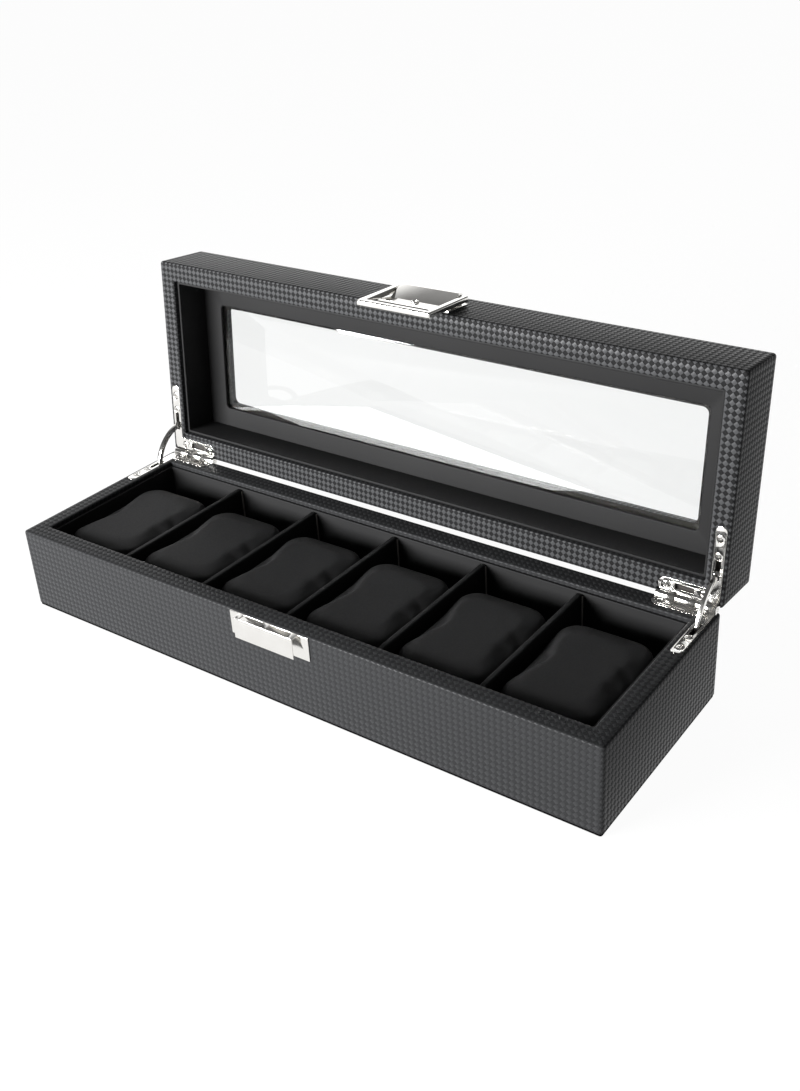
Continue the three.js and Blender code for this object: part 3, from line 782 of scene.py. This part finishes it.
def hinges():
    for side, at in ((-1, "left"), (1, "right")):
        for body, level, place in (("base", -1, HINGE), ("lid", 1, LID)):
            dress(leaf(side, level), NICKEL, body, [f"{body}_hinge_leaf_{at}"], place,
                  f"{body}_leaf_{at}")
            for name, (x, y) in SCREWS.items():
                dress(screw_head(side, level, x, y), NICKEL, body, [f"{body}_screw_{name}_{at}"],
                      place, f"{body}_screw_head_{name}_{at}")
        pin = rod("pin", HINGE_PIN, across(side, KNUCKLE["inner"], KNUCKLE["outer"]), 0, 0, 24, bevel=0.15)
        dress(pin, NICKEL, "base", [f"hinge_pin_{at}"], HINGE, f"hinge_rod_{at}")
        pin = stay_pin("pin", side, bevel=0.15)
        dress(pin, NICKEL, "lid", [f"stay_pin_{at}"], LID, f"stay_rivet_{at}")
        hang = LID @ Matrix.Translation(STAY_PIVOT * MM) @ Matrix.Rotation(OPEN_ANGLE / 2, 4, "X")
        dress(stay(side), NICKEL, f"stay_{at}", [f"stay_arm_{at}"], hang, f"stay_{at}")


# ---- Catch ----
KEEPER = {"sheet": 0.6, "flap": 16.5, "tab": 3, "flap_foot": 1.5}
HASP = {"sheet": 0.9, "roll": 16.3, "roll_radius": 2.4, "fold": 9, "wire_hole": 1.4, "rivet_hole": 1.1}
RIVET = [(0, -6), (0.8, -6), (0.8, 0.3), (1.9, 0.3), (2, 0.8), (1.8, 1.4), (1.5, 1.55), (1.2, 1.4), (1.1, 1),
         (1.05, 0.5), (0, 0.5)]
LOOP = {"outer": 20, "inner": 16.9, "reach": 30.1, "bar": 3.3, "half": 1.5, "wire": 1.1, "lean": 2.2}


def keeper():
    """A sheet stamping: a plate on the base's front and a flap folded down before it, joined by tabs."""
    span = Span("catch_keeper", BASE)
    front, back = span.y
    low, top = span.z
    sheet, flap, tab = KEEPER["sheet"], KEEPER["flap"], KEEPER["tab"]
    piece = box_piece("keeper", span.x, (back - sheet, back), span.z)
    parts = [box_piece("flap", (-flap, flap), (front, front + sheet), (low + KEEPER["flap_foot"], top))]
    parts += [box_piece("tab", (x, x + tab), (front, back), (top - sheet, top))
              for x in (-flap, -tab / 2, flap - tab)]
    combine(piece, parts, "UNION")
    ease(piece, 0.2, 3)
    return piece


def hasp(face, pivot):
    """A plate on the lid's front, rolled over at its far end to hold the loop's wire."""
    span = Span("hasp_plate", LID)
    back, front = face - FIT, face - FIT - HASP["sheet"]
    y, z, fold = pivot.y, pivot.z, pivot.z - HASP["fold"]
    roll_top = z + 1.6
    outline = [(back, fold), (back, roll_top)] + arc(y, z, HASP["roll_radius"], 80, 200, 16)
    outline += [(front - 0.9, fold + 1.6), (front - 0.25, fold + 0.4), (front, fold)]
    piece = box_piece("hasp", span.x, (front, back), (span.z[0], roll_top))
    combine(piece, [extruded("fold", outline, (-HASP["roll"], HASP["roll"]), SIDEWAYS)], "UNION")
    combine(piece, [rod("cut", HASP["wire_hole"], span.x, y, z),
                    rivet_place(post("cut", HASP["rivet_hole"], 0, 0, (-4, 4)), face)])
    ease(piece, 0.2, 3)
    return piece


def rivet_place(piece, y):
    """Stands a piece drawn upright on the hasp's rivet, pointing out of the lid's front."""
    rivet = Span("hasp_rivet", LID)
    forward = Matrix.Rotation(math.pi / 2, 4, "X")
    piece.data.transform(Matrix.Translation(Vector((0, y, (rivet.z[0] + rivet.z[1]) / 2)) * MM) @ forward)
    return piece


def loop():
    """The loop drawn hanging down from its wire."""
    outer, inner, reach, half = LOOP["outer"], LOOP["inner"], LOOP["reach"], LOOP["half"]
    piece = box_piece("loop", (-outer, outer), (-half, half), (-reach, half))
    opening = box_piece("cut", (-inner, inner), (-half - 1, half + 1), (LOOP["bar"] - reach, half + 1))
    combine(piece, [opening])
    ease(piece, 0.85, 5)
    combine(piece, [rod("wire", LOOP["wire"], (-inner - 1, inner + 1), 0, 0)], "UNION")
    return piece


def catch():
    dress(keeper(), NICKEL, "base", ["catch_keeper"], BASE, "keeper")
    joint = next(j for j in frame["joints"] if j["name"] == "loop_pivot")
    pivot = LID.inverted() @ Vector(joint["pos_m"]) / MM
    face = Span("lid_cover", LID).y[0]
    dress(hasp(face, pivot), NICKEL, "lid", ["hasp_plate"], LID, "hasp")
    rivet = rivet_place(turned("rivet", RIVET, 32), face - FIT - HASP["sheet"])
    dress(rivet, NICKEL, "lid", ["hasp_rivet"], LID)
    lean = LID @ Matrix.Translation(pivot * MM) @ Matrix.Rotation(math.radians(LOOP["lean"]), 4, "X")
    dress(loop(), NICKEL, "loop", ["catch_loop"], lean, "loop_frame")


def boards():
    for name, node in frame["nodes"].items():
        if name.endswith("_board"):
            node.data.materials.clear()
            node.data.materials.append(BOARD)


# ---- Studio ----
def camera():
    azimuth, elevation, roll = (math.radians(angle) for angle in (36.596, 28.155, -3.199))
    forward = Vector((-math.sin(azimuth) * math.cos(elevation), math.cos(azimuth) * math.cos(elevation),
                      -math.sin(elevation)))
    right = forward.cross(Vector((0, 0, 1))).normalized()
    up = right.cross(forward)
    rolled_right = right * math.cos(roll) + up * math.sin(roll)
    rolled_up = up * math.cos(roll) - right * math.sin(roll)
    data = bpy.data.cameras.new("camera")
    data.sensor_width = 36
    data.lens = 41.584
    data.shift_x = -0.0182
    data.shift_y = -0.0336
    data.clip_start, data.clip_end = 0.01, 60
    view = new_object("camera", data)
    turn = Matrix((rolled_right, rolled_up, -forward)).transposed().to_4x4()
    view.matrix_world = Matrix.Translation((0.32362, -0.37514, 0.33553)) @ turn
    bpy.context.scene.camera = view


def floor():
    bpy.ops.mesh.primitive_plane_add(size=14, location=(0, 0, -0.0003))
    plane = bpy.context.object
    plane.name = "floor"
    shader = Shader("light_table", (0.06, 0.06, 0.06), 0.9)
    shader.set("Specular IOR Level", 0.0)
    shader.set("Emission Color", (1, 1, 1, 1))
    shader.set("Emission Strength", 0.96)
    shader.set("Base Color", shader.mix(shader.noise(2.0), (0.055, 0.055, 0.055), (0.065, 0.065, 0.065)))
    plane.data.materials.append(shader.material)


def key_light():
    place, target = Vector((-0.42, -0.78, 0.25)), Vector((0, 0, 0.05))
    data = bpy.data.lights.new("key", "AREA")
    data.shape = "RECTANGLE"
    data.size, data.size_y = 0.6, 0.3
    data.energy = 31
    light = new_object("key", data)
    light.location = place
    light.rotation_euler = (target - place).to_track_quat("-Z", "Y").to_euler()


def backdrop():
    """A white wall of light behind the box on the left, which fades out to the right and overhead."""
    world = bpy.data.worlds.new("studio")
    bpy.context.scene.world = world
    world.use_nodes = True
    wiring = Wiring(world.node_tree)
    x, y, z = wiring.separate(world.node_tree.nodes.new("ShaderNodeTexCoord").outputs["Generated"])
    behind = wiring.spread(y, 0.0, 1.0, source=(0.0, 0.5), smooth=True)
    leftward = wiring.spread(x, 0.0, 1.0, source=(0.15, -0.25), smooth=True)
    low = wiring.spread(z, 1.0, 0.15, source=(0.45, 0.75), smooth=True)
    wall = wiring.compute("MULTIPLY", wiring.compute("MULTIPLY", behind, leftward), low)
    background = world.node_tree.nodes["Background"].inputs
    wiring.feed(wiring.compute("MULTIPLY_ADD", wall, 1.6, 0.1), background["Strength"])
    wiring.feed((1, 1, 1, 1), background["Color"])


def studio():
    """A glowing white table, one large soft light low in front on the left, and the backdrop."""
    floor()
    key_light()
    backdrop()
    bpy.context.scene.view_settings.view_transform = "Standard"


camera()
studio()
boards()
base_wrap()
base_inside()
pillows()
lid_wrap()
lid_inside()
hinges()
catch()
